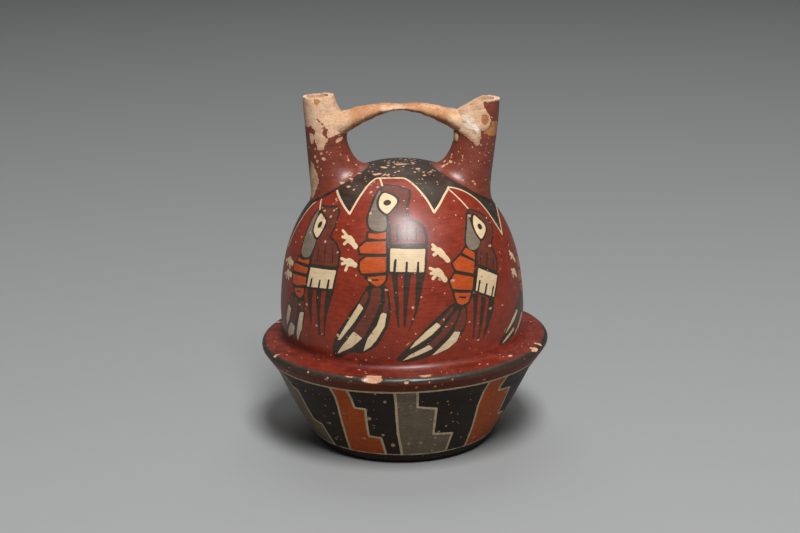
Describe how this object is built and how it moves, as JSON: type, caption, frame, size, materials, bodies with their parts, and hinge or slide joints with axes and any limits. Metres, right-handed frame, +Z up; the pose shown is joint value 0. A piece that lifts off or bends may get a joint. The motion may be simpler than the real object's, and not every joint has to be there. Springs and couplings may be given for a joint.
{
  "type": "double spout bottle",
  "caption": "Closed ceramic bottle with a flared ledge, a painted dome and twin tapered spouts joined by an arched strap bridge.",
  "frame": {"origin": "centre of the circle that the bottle stands on", "axes": "+Z up along the bottle's axis, the two spouts along X, the painted front towards -Y"},
  "size_m": [0.15, 0.15, 0.1826],
  "materials": {
    "bowl_slip": "near-black burnished slip that carries a step-fret band in orange, grey and cream",
    "red_slip": "burnished iron-red slip, semi-gloss, painted with cream, black, orange, plum and grey figures",
    "black_slip": "burnished black slip with worn specks that show the clay",
    "maroon_slip": "burnished maroon slip, worn away in patches to the clay",
    "bare_clay": "bare fired clay, matt and slightly grainy, where the slip has worn off",
    "inner_clay": "bare fired clay inside the bottle, matt"
  },
  "bodies": {
    "root": {"base_slab": "bowl_slip", "bowl_wall": "bowl_slip", "ledge_ring": "red_slip", "ledge_seam_coil": "inner_clay", "dome_wall": "red_slip", "dome_crown": "black_slip", "left_spout": "maroon_slip", "right_spout": "maroon_slip", "left_spout_collar": "maroon_slip", "right_spout_collar": "maroon_slip", "bridge_strap": "bare_clay", "left_bridge_weld": "bare_clay", "right_bridge_weld": "bare_clay"}
  },
  "joints": []
}
